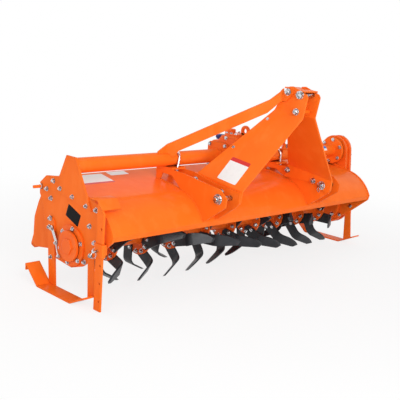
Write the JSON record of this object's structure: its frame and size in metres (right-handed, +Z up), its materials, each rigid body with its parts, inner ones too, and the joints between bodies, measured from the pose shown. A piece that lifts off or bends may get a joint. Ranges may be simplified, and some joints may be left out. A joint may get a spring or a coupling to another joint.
{
  "type": "rotavator",
  "caption": "Rotary tiller for a tractor's three-point hitch: tined rotor under a steel hood, mast, gearbox, side gear case, skids, tailboard and parking stand.",
  "frame": {"origin": "bottom centre of the parked machine's bounding box, on the ground", "axes": "+X along the rotor towards the gear-drive end, -Y towards the tractor, +Z up"},
  "size_m": [2.284, 0.968, 1.072],
  "materials": {
    "orange_paint": "glossy powder coat",
    "cast_paint": "glossy paint over castings",
    "tine_steel": "black dipped paint",
    "zinc_plate": "bright zinc plating",
    "bare_steel": "machined steel",
    "label_film": "blank printed film with a red band",
    "name_plate": "blank black plate",
    "blue_plastic": "moulded cap"
  },
  "bodies": {
    "frame": {"bearing_left": "cast_paint", "bearing_right": "cast_paint", "brace_left": "orange_paint", "brace_right": "orange_paint", "drive_tube": "orange_paint", "gear_case": "cast_paint", "gearbox": "cast_paint", "hinge_rod": "zinc_plate", "hitch_pins": "zinc_plate", "hitch_plate_inner_left": "orange_paint", "hitch_plate_inner_right": "orange_paint", "hitch_plate_outer_left": "orange_paint", "hitch_plate_outer_right": "orange_paint", "hood": "orange_paint", "main_tube": "orange_paint", "mast_plate_left": "orange_paint", "mast_plate_right": "orange_paint", "mast_spacers": "zinc_plate", "side_plate_left": "orange_paint", "side_plate_right": "orange_paint", "skid_left": "orange_paint", "skid_right": "orange_paint", "stand_socket": "orange_paint", "top_link_pin": "zinc_plate", "tube_bracket": "orange_paint", "tube_clamps": "zinc_plate", "tube_saddles": "orange_paint"},
    "rotor": {"rotor_shaft": "cast_paint", "tines_1": "tine_steel", "tines_2": "tine_steel", "tines_3": "tine_steel", "tines_4": "tine_steel", "tines_5": "tine_steel", "tines_6": "tine_steel", "tines_7": "tine_steel", "tines_8": "tine_steel", "tines_9": "tine_steel"},
    "tailboard": {"tailboard": "orange_paint"},
    "stand": {"stand": "orange_paint"},
    "pto_shaft": {"pto_shaft": "bare_steel"}
  },
  "joints": [
    {"name": "rotor_spin", "type": "hinge", "parent": "frame", "child": "rotor", "pos_m": [0, 0.081, 0.248], "axis": [1, 0, 0], "continuous": true},
    {"name": "pto_spin", "type": "hinge", "parent": "frame", "child": "pto_shaft", "pos_m": [0, -0.162, 0.644], "axis": [0, 1, 0], "continuous": true},
    {"name": "tailboard_hinge", "type": "hinge", "parent": "frame", "child": "tailboard", "pos_m": [0, 0.362, 0.491], "axis": [1, 0, 0], "range_deg": [0, 55]},
    {"name": "stand_slide", "type": "slide", "parent": "frame", "child": "stand", "axis": [0, 0, 1], "range_m": [0, 0.15]}
  ],
  "couplings": [
    {"joint": "pto_spin", "follows": "rotor_spin", "ratio": 2.45}
  ]
}
